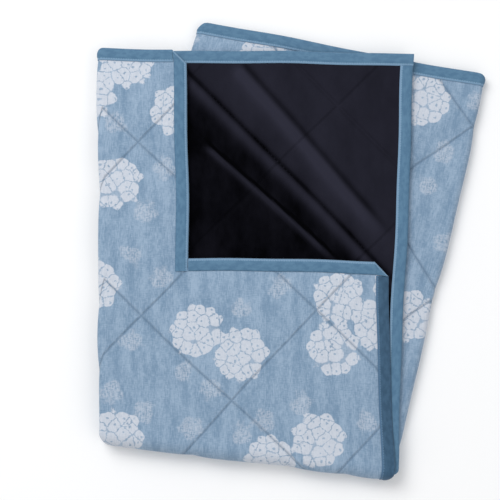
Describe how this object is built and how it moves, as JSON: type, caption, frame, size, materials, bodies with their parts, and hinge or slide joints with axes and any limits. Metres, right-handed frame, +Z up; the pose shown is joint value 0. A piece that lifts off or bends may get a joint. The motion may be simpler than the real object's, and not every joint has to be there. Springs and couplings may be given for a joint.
{
  "type": "folded quilted sauna blanket",
  "caption": "Quilted sauna blanket with a flower print, dark plush lining and taped edges, folded once across its waist; it unfolds flat.",
  "frame": {"origin": "middle of the underside of the folded blanket, on the surface that it lies on", "axes": "+X to the open side of the cover, +Y from the waist fold to the bound head end, +Z up"},
  "size_m": [0.5506, 0.6444, 0.0378],
  "materials": {
    "printed_cotton": "matte printed weave",
    "polyester_wadding": "matte fibre",
    "navy_plush": "short brushed pile",
    "woven_tape": "satin weave"
  },
  "bodies": {
    "foot_half": {"foot_base_face": "printed_cotton", "foot_base_wadding": "polyester_wadding", "foot_base_lining": "navy_plush", "foot_base_top_binding": "woven_tape", "foot_top_lining": "navy_plush", "foot_top_wadding": "polyester_wadding", "foot_top_face": "printed_cotton", "foot_top_top_binding": "woven_tape", "foot_left_fold_lining": "navy_plush", "foot_left_fold_wadding": "polyester_wadding", "foot_left_fold_face": "printed_cotton", "foot_left_fold_binding": "woven_tape", "foot_right_fold_lining": "navy_plush", "foot_right_fold_wadding": "polyester_wadding", "foot_right_fold_face": "printed_cotton", "foot_right_fold_binding": "woven_tape", "waist_inner_face": "printed_cotton", "waist_inner_wadding": "polyester_wadding", "waist_inner_lining": "navy_plush", "waist_outer_face": "printed_cotton", "waist_outer_wadding": "polyester_wadding", "waist_outer_lining": "navy_plush"},
    "head_half": {"back_face": "printed_cotton", "back_wadding": "polyester_wadding", "back_lining": "navy_plush", "back_side_binding": "woven_tape", "back_top_binding": "woven_tape", "cover_lining": "navy_plush", "cover_wadding": "polyester_wadding", "cover_face": "printed_cotton", "cover_side_binding": "woven_tape", "cover_notch_foot_binding": "woven_tape", "cover_notch_side_binding": "woven_tape", "cover_top_binding": "woven_tape", "head_side_fold_lining": "navy_plush", "head_side_fold_wadding": "polyester_wadding", "head_side_fold_face": "printed_cotton", "head_side_fold_binding": "woven_tape"}
  },
  "joints": [
    {"name": "waist_fold", "type": "hinge", "parent": "foot_half", "child": "head_half", "pos_m": [-0.2577, -0.25165, 0.0189], "axis": [0.9917, -0.1288, 0], "range_deg": [0, 180], "deforming": ["waist_inner_face", "waist_inner_wadding", "waist_inner_lining", "waist_outer_face", "waist_outer_wadding", "waist_outer_lining"]}
  ]
}
